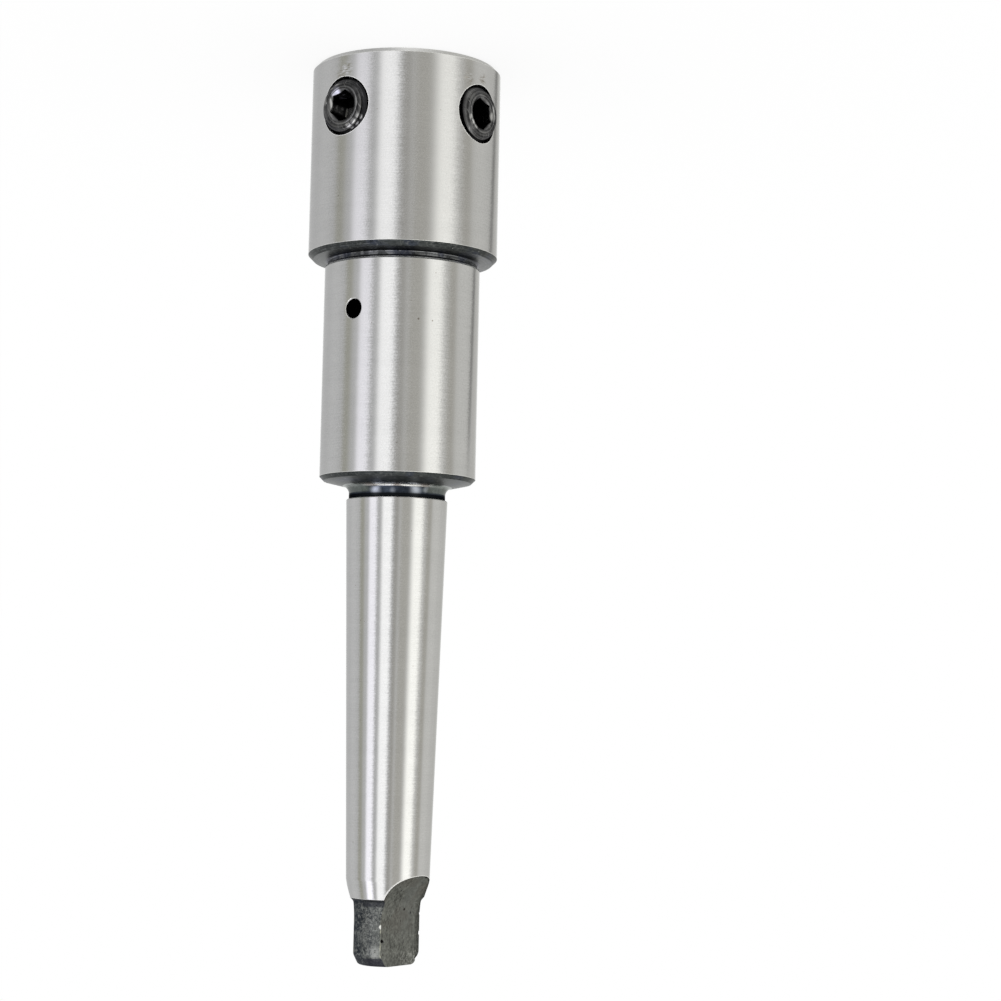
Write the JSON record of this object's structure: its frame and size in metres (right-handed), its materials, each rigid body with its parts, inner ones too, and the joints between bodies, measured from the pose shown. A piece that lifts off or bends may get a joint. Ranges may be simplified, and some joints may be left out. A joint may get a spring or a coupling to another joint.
{
  "type": "ring tool arbor",
  "caption": "Taper-shank arbor with tang, ground neck with coolant port, and collar with side-lock socket, hexagon set screws and sprung ejector.",
  "frame": {"origin": "centre of the socket's mouth, on the collar's end face", "axes": "+Z along the axis from the socket's mouth to the tang, +X out through the first clamp screw, -Y out through the second clamp screw and square to the tang flats"},
  "size_m": [0.0346, 0.0346, 0.1604],
  "materials": {
    "ground_steel": "cylindrically ground, satin, with blackened relief faces and a rough tang",
    "black_oxide_steel": "black oxide, edges worn lighter",
    "turned_steel": "fine turned",
    "spring_steel": "oil tempered"
  },
  "bodies": {
    "arbor": {"arbor_body": "ground_steel", "retaining_ring": "spring_steel", "ejector_spring": "spring_steel"},
    "screw_1": {"clamp_screw_1": "black_oxide_steel"},
    "screw_2": {"clamp_screw_2": "black_oxide_steel"},
    "plunger": {"ejector_plunger": "turned_steel"}
  },
  "joints": [
    {"name": "screw_1_travel", "type": "slide", "parent": "arbor", "child": "screw_1", "axis": [-1, 0, 0], "range_m": [-0.003, 0.002]},
    {"name": "screw_2_travel", "type": "slide", "parent": "arbor", "child": "screw_2", "axis": [0, 1, 0], "range_m": [-0.003, 0.002]},
    {"name": "plunger_travel", "type": "slide", "parent": "arbor", "child": "plunger", "axis": [0, 0, 1], "range_m": [0, 0.012], "stiffness_N_per_m": 800, "springref_m": -0.006, "deforming": ["ejector_spring"]}
  ]
}
